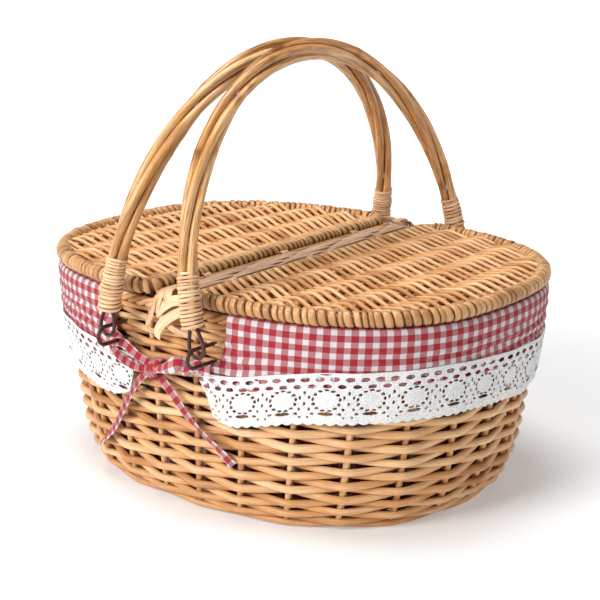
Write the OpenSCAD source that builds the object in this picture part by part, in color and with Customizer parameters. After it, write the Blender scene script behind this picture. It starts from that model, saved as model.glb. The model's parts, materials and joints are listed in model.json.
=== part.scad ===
// Oval willow picnic basket with two hinged lids and two fold-down carrying handles.
// Origin: middle of the foot, on the floor. +X runs along the basket, +Z is up. Millimetres.

/* [Basket] */
// Length of the foot, along X
foot_len = 344; // [320:2:360]
// Width of the foot, along Y
foot_width = 288; // [270:2:300]
// Length over the rim
rim_len = 410; // [390:2:420]
// Width over the rim
rim_width = 307; // [290:1:312]
// Height of the top of the rim
rim_top = 165.2; // [150:0.2:180]
// Thickness of the woven wall
wall_t = 8; // [6:0.5:10]
// Number of upright stakes
stake_count = 26; // [22:4:38]

/* [Lids] */
// Length over both closed lids
lid_len = 420; // [410:2:440]
// Width of the closed lids
lid_width = 317; // [305:1:320]
// Diameter of the wrapped lid rim
lid_rim_d = 13; // [11:0.5:14]
// Ribs in one lid
lid_rib_count = 4; // [2:1:4]

/* [Handles] */
// Half distance between the two handles' pivots, along X
pivot_x = 47; // [42:1:55]
// Height of the handles' pivots
pivot_z = 143; // [130:1:150]
// Half distance between the legs of one handle, along Y
leg_y = 173; // [172:0.5:180]
// Height of a handle's crown above its pivot, along the handle
crown_u = 204; // [190:1:215]
// Radius of one handle rod
rod_r = 3.65; // [3:0.05:3.7]
// Turns that the four rods make round each other
rod_turns = 1.25; // [0.5:0.25:2]

/* [Cloth] */
// Lowest edge of the gingham skirt, where the lace starts
skirt_low = 126; // [118:1:132]
// Lowest edge of the lace
lace_low = 84; // [78:1:92]

/* [Hidden] */

$fn = 32;
willow = "#c98f4e";
willow_light = "#dcae74";
willow_dark = "#a86f38";
skein = "#cfa37a";
brown_wire = "#4a2a24";
gingham = "#d7495a";
gingham_pale = "#eec4c4";
white_lace = "#f7f5f0";

// Oval outlines: squareness 2 is an ellipse
foot_squareness = 2.35;
rim_squareness = 2.6;
lid_squareness = 2.62;
// The wall flares fast near the foot and slowly near the rim
flare = 0.42;
around = 72;

foot_h = 8;
rim_h = 8;
rim_low = rim_top - rim_h;
base_h = 6;
base_low = 2;
stick_r = 2.4;
stake_r = 2.4;

// Cross bar and hinges
bar_half = 9;
bar_h = 10;
bar_len = 302;
bar_rod_r = 3.4;
bar_rod_x = 4.4;
bar_z = rim_top + bar_h / 2;
hinge_x = 14;
hinge_z = 171;
hinge_rod_r = 2.2;
hinge_gap = 0.05;
loop_r = 4.2;
loop_w = 10;
loop_pitch = 95;

// Lids, closed
lid_r = lid_rim_d / 2;
lid_z = rim_top + 1.7 + lid_r;
lid_edge_x = hinge_x + 9.4;
lid_corner = 12;
lid_frame_r = 4.4;
lid_weave_t = 6;
lid_rib_r = 2.2;
lid_rib_pitch = 38;

// Handles: u runs from the pivots to the crown, w is square to the handle's plane
bundle_r = rod_r * sqrt(2) + 0.1;
arch_low_u = 20;
arch_u = crown_u - arch_low_u;
leg_taper = 0.1;
crown_gap = 0.4;
lean = asin((pivot_x - bundle_r - rod_r - crown_gap / 2) / crown_u);
rod_start = 22;
binding_start = 15;
binding_end = 57;
binding_r = 9;
binding_bore_r = 8.2;
link_r = 5;
link_wire_r = 1.5;
staple_wire_r = 1.5;
staple_bend_r = 7;

// Cloth
cloth_t = 1.1;
skirt_edge_x = 53;
lace_edge_x = 46;

// Routes of the ribbon's two free ends at the front, from the knot down
tail_r = 2.2;
long_tail = [[-16, -159, 111], [-26, -158.5, 102], [-36, -157, 91], [-46, -155, 78], [-56, -153, 64],
    [-67, -149.5, 50], [-81, -144.5, 37], [-97, -138, 25]];
short_tail = [[-4, -159.5, 107], [2, -159.5, 101], [11, -159, 92], [22, -157.5, 80], [35, -155.5, 69],
    [49, -152.5, 58], [60, -149, 47]];
knot = [-9, -160, 113];

function power(v, e) = sign(v) * pow(abs(v), e);
function oval_point(a, b, n, t) = [a * power(cos(t), 2 / n), b * power(sin(t), 2 / n)];
function oval(a, b, n) = [for (i = [0:around - 1]) oval_point(a, b, n, 360 * i / around)];

// Half axes and squareness of the basket's outside at height z
function rise(z) = pow(z / rim_top, flare);
function wall_a(z) = (foot_len + (rim_len - foot_len) * rise(z)) / 2;
function wall_b(z) = (foot_width + (rim_width - foot_width) * rise(z)) / 2;
function wall_n(z) = foot_squareness + (rim_squareness - foot_squareness) * z / rim_top;

// Point at angle t round the basket, a given distance outside the wall, at height z
function wall_point(out, z, t) = concat(oval_point(wall_a(z) + out, wall_b(z) + out, wall_n(z), t), z);

// Angles that share the basket's outline out in equal lengths, the first at the right-hand end
chords = 180;
outline = [for (i = [0:chords]) wall_point(0, rim_top / 2, 360 * i / chords)];
chord = [for (i = [0:chords]) i < chords ? norm(outline[i + 1] - outline[i]) : 0];
length_to = [for (i = 0, sum = 0; i <= chords; sum = sum + chord[i], i = i + 1) sum];
function shared_angle(share) =
    lookup(share * length_to[chords], [for (i = [0:chords]) [length_to[i], 360 * i / chords]]);

// Angle at which the front half of the oval has reached x
function angle_at(x) = -acos(power(x / wall_a(rim_top), rim_squareness / 2));

// Closed skin over rings of points; loop joins the last ring to the first
module skin(rings, loop) {
    count = len(rings);
    sides = len(rings[0]);
    walls = [for (i = [0:count - (loop ? 1 : 2)], j = [0:sides - 1])
        let (m = (i + 1) % count, n = (j + 1) % sides)
        [i * sides + j, m * sides + j, m * sides + n, i * sides + n]];
    first = [for (j = [0:sides - 1]) j];
    last = [for (j = [sides - 1:-1:0]) (count - 1) * sides + j];
    polyhedron([for (ring = rings) each ring], loop ? walls : concat(walls, [first, last]), 10);
}

// A section of [distance outside the wall, height] carried right round the basket
module ring_of_wall(section) {
    skin([for (i = [0:around - 1]) [for (p = section) wall_point(p[0], p[1], 360 * i / around)]], true);
}

// The same section carried from one angle to another
module part_of_wall(section, from, to, steps) {
    skin([for (i = [0:steps])
        let (t = from + (to - from) * i / steps)
        [for (p = section) wall_point(p[0], p[1], t)]], false);
}

// Flat ring between two ovals that follow the wall at height z
module flat_ring(z, height, inset) {
    translate([0, 0, z])
        linear_extrude(height)
            difference() {
                polygon(oval(wall_a(z + height), wall_b(z + height), wall_n(z)));
                polygon(oval(wall_a(z + height) - inset, wall_b(z + height) - inset, wall_n(z)));
            }
}

// Cylinder along Y, centred on y = 0
module along_y(r, length, x, z) {
    translate([x, length / 2, z]) rotate([90, 0, 0]) cylinder(r = r, h = length);
}

// Round tube through points that never run along Y
function unit(v) = v / norm(v);
function along(path, i) = unit(path[min(i + 1, len(path) - 1)] - path[max(i - 1, 0)]);
module tube(path, r, sides) {
    skin([for (i = [0:len(path) - 1])
        let (side = unit(cross(along(path, i), [0, 1, 0])), top = cross(side, along(path, i)))
        [for (j = [0:sides - 1]) path[i] + r * (cos(360 * j / sides) * side + sin(360 * j / sides) * top)]],
        false);
}

module foot_border() {
    color(willow_dark) flat_ring(0, foot_h, 12);
}

module base_weave() {
    inset = 12.2;
    color(willow)
        translate([0, 0, base_low])
            linear_extrude(base_h)
                polygon(oval(wall_a(foot_h) - inset, wall_b(foot_h) - inset, foot_squareness));
}

module base_sticks() {
    color(willow_dark)
        for (i = [-4:4])
            along_y(stick_r, 250 - 4.5 * i * i, 34 * i, base_low + base_h / 2);
}

module side_stakes() {
    middle = -wall_t / 2;
    color(willow_dark)
        for (i = [0:stake_count - 1])
            let (t = shared_angle(i / stake_count))
            skin([for (z = [foot_h + 0.5, 22, 50, 95, rim_low - 0.5])
                [for (j = [0:5]) wall_point(middle, z, t) + stake_r * [cos(60 * j), sin(60 * j), 0]]], false);
}

module side_weave() {
    levels = [foot_h, 15, 28, 50, 80, 120, rim_low];
    outside = [for (z = levels) [0, z]];
    inside = [for (i = [len(levels) - 1:-1:0]) [-wall_t, levels[i]]];
    color(willow) ring_of_wall(concat(outside, inside));
}

module rim_border() {
    color(willow_light) flat_ring(rim_low, rim_h, wall_t + 1);
}

module cross_bar_rods() {
    color(willow)
        for (side = [-1, 1])
            along_y(bar_rod_r, bar_len, side * bar_rod_x, bar_z);
}

module cross_bar_band() {
    corner = 3;
    color(skein)
        translate([0, bar_len / 2 - 1, bar_z])
            rotate([90, 0, 0])
                linear_extrude(bar_len - 2)
                    difference() {
                        union() {
                            square([2 * bar_half, bar_h - 2 * corner], center = true);
                            square([2 * (bar_half - corner), bar_h], center = true);
                            for (x = [-1, 1], y = [-1, 1])
                                translate([x * (bar_half - corner), y * (bar_h / 2 - corner)]) circle(corner);
                        }
                        for (x = [-bar_rod_x, bar_rod_x])
                            translate([x, 0]) circle(bar_rod_r + hinge_gap);
                    }
}

module hinge_rod(side) {
    color(willow_light) along_y(hinge_rod_r, bar_len, side * hinge_x, hinge_z);
}

// Crossed skeins that bind the bar's end to the rim: a narrow hook over bar, rim and wall,
// with a wide patch on the wall below the rim
module lashing(side) {
    strap_t = 2.6;
    strap_w = 2 * bar_half - 0.6;
    patch_w = 34;
    reach_in = 131;
    reach_out = 155;
    top = bar_z + bar_h / 2 + 0.2;
    low = 140;
    color(skein)
        rotate([90, 0, side * 90]) {
            translate([0, 0, -strap_w / 2])
                linear_extrude(strap_w)
                    polygon([[reach_in, top], [reach_out, top], [reach_out, low + strap_t],
                        [reach_out - wall_t, low + strap_t], [reach_out - wall_t, low],
                        [reach_out + strap_t, low], [reach_out + strap_t, top + strap_t],
                        [reach_in, top + strap_t]]);
            translate([reach_out, low, -patch_w / 2]) cube([strap_t, rim_low + 6 - low, patch_w]);
        }
}

// Cup of cloth inside the basket: up the outside of the cloth, down its inside
module liner() {
    gap = wall_t + 1.6;
    floor_z = base_low + base_h + 0.4;
    levels = [floor_z, 18, 32, 60, 100, rim_low - 2];
    outside = [for (z = levels) [-gap, z]];
    inside = [for (i = [len(levels) - 1:-1:1]) [-gap - cloth_t, levels[i]]];
    section = concat(outside, inside, [[-gap - cloth_t, floor_z + cloth_t]]);
    rings = [for (p = section) [for (i = [0:around - 1]) wall_point(p[0], p[1], 360 * i / around)]];
    color(gingham_pale) skin(rings, false);
}

// The cloth's turned-over edge: over the rim and down the outside
module skirt() {
    section = [[0.6, skirt_low], [0.6, rim_low - 4], [0.6, rim_top + 0.3], [-wall_t - 1.4, rim_top + 0.3],
        [-wall_t - 1.4, rim_low], [-wall_t - 1.4 - cloth_t, rim_low],
        [-wall_t - 1.4 - cloth_t, rim_top + 0.3 + cloth_t], [0.6 + cloth_t, rim_top + 0.3 + cloth_t],
        [4.2, rim_low - 4], [3.2, skirt_low]];
    color(gingham) part_of_wall(section, angle_at(skirt_edge_x), -angle_at(skirt_edge_x), 44);
}

module lace() {
    section = [[1, lace_low], [1, (lace_low + skirt_low) / 2], [0.8, skirt_low - 0.2], [2.6, skirt_low - 0.2],
        [2.8, (lace_low + skirt_low) / 2], [2.8, lace_low]];
    color(white_lace) part_of_wall(section, angle_at(lace_edge_x), -angle_at(lace_edge_x), 44);
}

// Knot with its two loops and the straps that reach the two skirts
module bow() {
    loop_t = 4.5;
    knot_r = 7;
    knot_t = 9;
    color(gingham_pale)
        union() {
            translate(knot + [0, knot_t / 2, 0]) rotate([90, 0, 0]) cylinder(r = knot_r, h = knot_t);
            translate([0, knot[1] + 1 + loop_t / 2, 0])
                rotate([90, 0, 0])
                    linear_extrude(loop_t)
                        polygon([
                            [-60, 125], [-40, 126], [-9, 118], [10, 126], [24, 131], [43, 130],
                            [43, 124], [24, 124], [8, 112], [-9, 108], [-32, 110], [-56, 116]]);
        }
}

module tail(route) {
    color(gingham) tube(route, tail_r, 8);
}

// Wire staple through the wall: its upper leg is the pivot of one handle leg
module staple() {
    inner_y = 143;
    straight = leg_y + 3;
    color(brown_wire)
        translate([pivot_x, 0, 0]) {
            for (z = [pivot_z, pivot_z - 2 * staple_bend_r])
                translate([0, -inner_y, z])
                    rotate([90, 0, 0]) cylinder(r = staple_wire_r, h = straight - inner_y);
            translate([0, -straight, pivot_z - staple_bend_r])
                rotate([0, -90, 180])
                    rotate_extrude(angle = 180) translate([staple_bend_r, 0]) circle(staple_wire_r);
        }
}

// Place something drawn in a handle's own frame, [w, y, u], as the right-hand handle at rest
module at_handle() {
    translate([pivot_x, 0, pivot_z]) rotate([0, -lean, 0]) children();
}

// Middle of the handle and its outward direction, at angle f from the front leg to the rear leg
function arch_point(f) = [0, -leg_y * cos(f), arch_low_u + arch_u * sin(f)];
function arch_out(f) = unit([0, -arch_u * cos(f), leg_y * sin(f)]);
function arch_size(f) = 1 - leg_taper * pow(abs(cos(f)), 4);
function arch_angle(u) = asin((u - arch_low_u) / arch_u);

// Ring of points round the arch, its middle moved to [out, w] in the arch's own section
function arch_ring(f, out, w, r, sides) = [for (j = [0:sides - 1])
    arch_point(f) + (out + r * cos(360 * j / sides)) * arch_out(f) + [w + r * sin(360 * j / sides), 0, 0]];

module handle_rod(number) {
    rings = 40;
    first = arch_angle(rod_start);
    color(number % 2 == 0 ? willow : willow_light)
        at_handle()
            skin([for (i = [0:rings])
                let (f = first + (180 - 2 * first) * i / rings,
                     turn = 45 + 90 * number + 360 * rod_turns * i / rings,
                     size = arch_size(f))
                arch_ring(f, size * bundle_r * cos(turn), size * bundle_r * sin(turn), size * rod_r, 8)],
                false);
}

module binding(side) {
    rings = 6;
    sides = 14;
    first = arch_angle(binding_start);
    step = (arch_angle(binding_end) - first) / rings;
    angles = [for (i = [0:rings]) side < 0 ? first + step * i : 180 - first - step * (rings - i)];
    bore_angles = concat(2 * angles[0] - angles[1], angles, 2 * angles[rings] - angles[rings - 1]);
    color(skein)
        at_handle()
            difference() {
                skin([for (f = angles) arch_ring(f, 0, 0, binding_r, sides)], false);
                skin([for (f = bore_angles) arch_ring(f, 0, 0, binding_bore_r, sides)], false);
            }
}

// Wire loop that hangs a handle leg on its staple
module link(side) {
    leg_top = rod_start - 0.3;
    color(brown_wire)
        at_handle()
            translate([0, side * leg_y, 0]) {
                for (w = [-link_r, link_r])
                    translate([w, 0, 0]) cylinder(r = link_wire_r, h = leg_top);
                rotate([-90, 0, 0]) rotate_extrude(angle = 180) translate([link_r, 0]) circle(link_wire_r);
            }
}

function heading(angle) = [cos(angle), sin(angle)];

// Half-oval outline of the right lid, a given distance inside its outer edge
function lid_line(inset) =
    let (a = lid_len / 2 - inset, b = lid_width / 2 - inset, edge = lid_edge_x + inset - lid_r,
         corner_x = edge + lid_corner, corner_t = acos(pow(corner_x / a, lid_squareness / 2)),
         corner_y = oval_point(a, b, lid_squareness, corner_t)[1] - lid_corner)
    concat(
        [for (k = [0:3]) [corner_x, -corner_y] + lid_corner * heading(180 + 22.5 * k)],
        [for (k = [0:40]) oval_point(a, b, lid_squareness, corner_t * (k / 20 - 1))],
        [for (k = [1:4]) [corner_x, corner_y] + lid_corner * heading(90 + 22.5 * k)]);

// Round tube that follows a closed flat line at height z
module flat_loop_tube(line, r, sides, z) {
    count = len(line);
    skin([for (i = [0:count - 1])
        let (way = unit(line[(i + 1) % count] - line[(i + count - 1) % count]))
        [for (j = [0:sides - 1])
            [line[i][0] + r * cos(360 * j / sides) * way[1], line[i][1] - r * cos(360 * j / sides) * way[0],
             z + r * sin(360 * j / sides)]]], true);
}

module lid_frame() {
    color(willow_dark) flat_loop_tube(lid_line(lid_r), lid_frame_r, 8, lid_z);
}

module lid_rim_wrap() {
    color(willow_light) flat_loop_tube(lid_line(lid_r), lid_r, 12, lid_z);
}

module lid_weave() {
    color(willow)
        translate([0, 0, lid_z - lid_weave_t / 2])
            linear_extrude(lid_weave_t)
                polygon(lid_line(2 * lid_r - 1));
}

module lid_ribs() {
    color(willow_dark)
        for (i = [1:lid_rib_count])
            let (x = lid_edge_x + lid_rib_pitch * i,
                 reach = pow(1 - pow(x / (lid_len / 2 - lid_r), lid_squareness), 1 / lid_squareness))
            along_y(lid_rib_r, 2 * reach * (lid_width / 2 - lid_r) - 2, x, lid_z);
}

module lid_hinge_loops() {
    color(skein)
        for (i = [-1:1])
            translate([hinge_x, loop_pitch * i + loop_w / 2, hinge_z])
                rotate([90, 0, 0])
                    difference() {
                        cylinder(r = loop_r, h = loop_w);
                        translate([0, 0, -1]) cylinder(r = hinge_rod_r + hinge_gap, h = loop_w + 2);
                    }
}

// Turned half round the upright axis, and mirrored front to back
module other_side() {
    rotate([0, 0, 180]) children();
}
module other_end() {
    mirror([0, 1, 0]) children();
}

foot_border();
base_weave();
base_sticks();
side_stakes();
side_weave();
rim_border();
cross_bar_rods();
cross_bar_band();
hinge_rod(-1);  // left_hinge_rod
hinge_rod(1);  // right_hinge_rod
lashing(-1);  // front_lashing
lashing(1);  // rear_lashing
liner();
other_side() skirt();  // left_skirt
skirt();  // right_skirt
other_side() lace();  // left_lace
lace();  // right_lace
bow();  // front_bow
other_side() bow();  // rear_bow
tail(long_tail);  // front_tail_long
tail(short_tail);  // front_tail_short
staple();  // front_right_staple
other_side() staple();  // rear_left_staple
other_end() staple();  // rear_right_staple
other_side() other_end() staple();  // front_left_staple
other_side() handle_rod(1);  // left_handle_rod_1
other_side() handle_rod(2);  // left_handle_rod_2
other_side() handle_rod(3);  // left_handle_rod_3
other_side() handle_rod(4);  // left_handle_rod_4
handle_rod(1);  // right_handle_rod_1
handle_rod(2);  // right_handle_rod_2
handle_rod(3);  // right_handle_rod_3
handle_rod(4);  // right_handle_rod_4
other_side() binding(1);  // left_handle_front_binding
other_side() binding(-1);  // left_handle_rear_binding
binding(-1);  // right_handle_front_binding
binding(1);  // right_handle_rear_binding
other_side() link(1);  // left_handle_front_link
other_side() link(-1);  // left_handle_rear_link
link(-1);  // right_handle_front_link
link(1);  // right_handle_rear_link
other_side() lid_frame();  // left_lid_frame
other_side() lid_rim_wrap();  // left_lid_rim_wrap
other_side() lid_ribs();  // left_lid_ribs
other_side() lid_weave();  // left_lid_weave
other_side() lid_hinge_loops();  // left_lid_hinge_loops
lid_frame();  // right_lid_frame
lid_rim_wrap();  // right_lid_rim_wrap
lid_ribs();  // right_lid_ribs
lid_weave();  // right_lid_weave
lid_hinge_loops();  // right_lid_hinge_loops
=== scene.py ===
import json
import math

import bpy
import numpy as np
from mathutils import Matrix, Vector


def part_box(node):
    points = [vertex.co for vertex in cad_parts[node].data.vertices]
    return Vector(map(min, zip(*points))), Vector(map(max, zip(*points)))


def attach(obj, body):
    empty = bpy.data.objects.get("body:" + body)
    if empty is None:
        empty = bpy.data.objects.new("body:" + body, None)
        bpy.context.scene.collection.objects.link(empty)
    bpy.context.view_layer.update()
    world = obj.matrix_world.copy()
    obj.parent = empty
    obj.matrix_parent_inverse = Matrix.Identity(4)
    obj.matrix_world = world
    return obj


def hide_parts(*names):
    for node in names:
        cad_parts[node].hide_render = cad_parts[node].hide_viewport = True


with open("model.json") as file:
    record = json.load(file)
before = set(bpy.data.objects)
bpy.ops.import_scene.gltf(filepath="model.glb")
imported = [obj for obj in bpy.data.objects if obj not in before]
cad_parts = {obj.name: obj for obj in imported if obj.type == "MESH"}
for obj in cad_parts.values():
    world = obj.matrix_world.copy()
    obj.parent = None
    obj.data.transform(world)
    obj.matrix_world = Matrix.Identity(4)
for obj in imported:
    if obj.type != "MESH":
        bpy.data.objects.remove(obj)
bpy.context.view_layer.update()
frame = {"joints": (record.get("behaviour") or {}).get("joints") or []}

# Two-lid willow picnic basket. Metres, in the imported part's own frame.
# Right-hand pieces are drawn first; left-hand ones are the same turned half round the upright axis.
BODIES = {1: "right", -1: "left"}
ENDS = {1: "front", -1: "rear"}
MIDDLE = Vector((0, 0, 0.12))

# Basket wall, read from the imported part
RIM_A, RIM_B, RIM_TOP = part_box("rim_border")[1]
RIM_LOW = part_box("rim_border")[0].z
FOOT_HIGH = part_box("foot_border")[1]
FLARE = 0.42
FOOT_SQUARENESS = 2.35
RIM_SQUARENESS = 2.6
STAKES = 26
STAKE_D = 0.0052
WEAVE_DEPTH = 0.005
WEAVE_SWING = 0.0041
ROPE_RODS = 3
ROPE_ROD_D = 0.0042

# Lids, read from the right lid's wrapped rim
LID_LOW, LID_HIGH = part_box("right_lid_rim_wrap")
LID_R = (LID_HIGH.z - LID_LOW.z) / 2
LID_Z = (LID_HIGH.z + LID_LOW.z) / 2
LID_EDGE = LID_LOW.x + LID_R
LID_A = LID_HIGH.x - LID_R
LID_B = LID_HIGH.y - LID_R
LID_SQUARENESS = 2.62
LID_CORNER = 0.012
LID_RIB_PITCH = 0.038
LID_RIBS = 4
LID_RIB_BOW = 0.1

# Cross bar and hinges
BAR_LOW, BAR_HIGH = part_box("cross_bar_band")
BAR_Z = (BAR_LOW.z + BAR_HIGH.z) / 2
HINGE_LOW, HINGE_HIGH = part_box("right_hinge_rod")
HINGE_X = (HINGE_LOW.x + HINGE_HIGH.x) / 2
HINGE_Z = (HINGE_LOW.z + HINGE_HIGH.z) / 2
HINGE_ROD_D = HINGE_HIGH.z - HINGE_LOW.z
LOOP_PITCH = 0.095

# Handles: u runs up the handle from its pivots, w is square to the handle's plane
PIVOT = next(Vector(j["pos_m"]) for j in frame["joints"] if j["name"] == "right_handle_hinge")
LEG_Y = 0.173
CROWN_U = 0.204
ARCH_LOW_U = 0.02
ROD_R = 0.00365
BUNDLE_R = ROD_R * math.sqrt(2) + 0.0001
ROD_TURNS = 1.25
ROD_START_U = 0.022
LEG_TAPER = 0.1
LEAN = math.asin((PIVOT.x - BUNDLE_R - ROD_R - 0.0002) / CROWN_U)
BINDING_U = (0.015, 0.057)
LINK_R = 0.0072
WIRE_D = 0.003
STAPLE_LEG = 0.0315

# Cloth
CHECK = 0.01
YARN = 0.0009
CLOTH_THICKNESS = 0.0006
LINER_INSET = 0.0144
PANEL_EDGE_X = 0.0535
# How far the cloth's end reaches past that edge towards the tie, at heights from the lace's hem upwards
REACH_HEIGHTS = (0.0785, 0.081, 0.085, 0.1026, 0.1174, 0.1222, 0.1324, 0.15)
REACHES = (-0.01, 0, 0.009, 0.017, 0.026, 0.015, 0.003, 0)
RIBBON_W = 0.009
LACE_TILE = 0.032
LACE_H = 0.0398
LACE_THICKNESS = 0.0007
LACE_OVER_HEM = 0.012
MEDAL_V = 0.0215
MEDAL_PETALS = 13
# Height of the lace's upper edge along the right-hand panel, from its front end to its rear end
LACE_TOP_PLACES = (0, 0.14, 0.38, 0.5, 0.84, 1)
LACE_TOP_HEIGHTS = (0.118, 0.133, 0.136, 0.131, 0.124, 0.118)

# The tie's two free ends, from the knot down
LONG_TAIL = ((-0.016, -0.159, 0.111), (-0.026, -0.1585, 0.102), (-0.036, -0.157, 0.091),
             (-0.046, -0.155, 0.078), (-0.056, -0.153, 0.064), (-0.067, -0.1495, 0.05),
             (-0.081, -0.1445, 0.037), (-0.097, -0.138, 0.025))
SHORT_TAIL = ((-0.004, -0.1595, 0.107), (0.002, -0.1595, 0.101), (0.011, -0.159, 0.092),
              (0.022, -0.1575, 0.08), (0.035, -0.1555, 0.069), (0.049, -0.1525, 0.058),
              (0.06, -0.149, 0.047))
KNOT = (-0.009, -0.16, 0.113)


# ---- camera

def add_object(name, data):
    made = bpy.data.objects.new(name, data)
    bpy.context.scene.collection.objects.link(made)
    return made


def stand_facing_basket(made, place):
    made.location = place
    made.rotation_euler = (MIDDLE - Vector(place)).to_track_quat("-Z", "Y").to_euler()


def make_camera():
    """The camera, at the angle from which the basket is shown."""
    azimuth = math.radians(39.5)
    elevation = math.radians(16.3)
    distance = 1.3
    back = Vector((math.sin(azimuth) * math.cos(elevation), -math.cos(azimuth) * math.cos(elevation),
                   math.sin(elevation)))
    data = bpy.data.cameras.new("camera")
    data.lens = 92.8
    data.sensor_width = 36
    data.shift_x = 0.005
    data.shift_y = 0.028
    camera = add_object("camera", data)
    stand_facing_basket(camera, MIDDLE + distance * back)
    bpy.context.scene.camera = camera


# ---- curves and meshes

def zigzag(phase):
    """A wave like a cosine, straighter between its crests, as a rod bent round its stakes."""
    return (np.cos(phase) + np.cos(3 * phase) / 9 + np.cos(5 * phase) / 25) / 1.151


def xyz(x, y, z):
    """Points from their coordinates, any of which may be one number for all of them."""
    return np.stack(np.broadcast_arrays(x, y, z), -1)


def unit(vectors):
    """The same directions, each of length 1."""
    return vectors / np.linalg.norm(vectors, axis=-1, keepdims=True)


def curve_through(points, count):
    """A smooth path of count points through a few chosen ones."""
    points = np.asarray(points, float)
    padded = np.vstack([2 * points[0] - points[1], points, 2 * points[-1] - points[-2]])
    place = np.linspace(0, len(points) - 1, count)
    i = np.minimum(place.astype(int), len(points) - 2)
    f = (place - i)[:, None]
    a, b, c, d = padded[i], padded[i + 1], padded[i + 2], padded[i + 3]
    return b + 0.5 * f * (c - a + f * (2 * a - 5 * b + 4 * c - d + f * (3 * (b - c) + d - a)))


def lengths_along(path):
    """How far along a path each of its points lies."""
    return np.concatenate([[0], np.cumsum(np.linalg.norm(np.diff(path, axis=0), axis=1))])


def at_distance(distance, so_far, vectors):
    """Vectors known at the distances so_far, read off at other distances."""
    return np.stack([np.interp(distance, so_far, vectors[:, k]) for k in range(3)], -1)


def spread(values, count):
    """A few values spread evenly over count places, with the rest between them."""
    return np.interp(np.linspace(0, 1, count), np.linspace(0, 1, len(values)), values)


def signed_power(value, exponent):
    return np.sign(value) * np.abs(value) ** exponent


def oval_reach(place, squareness):
    """Half the width of a squared oval of half-axes 1, at a place along its other axis."""
    return (1 - np.minimum(1, np.abs(place)) ** squareness) ** (1 / squareness)


def cell_corners(grid):
    """The four corner values of each cell of a grid, in the order that makes a face."""
    return np.stack([grid[:-1, :-1], grid[1:, :-1], grid[1:, 1:], grid[:-1, 1:]], -1)


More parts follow.
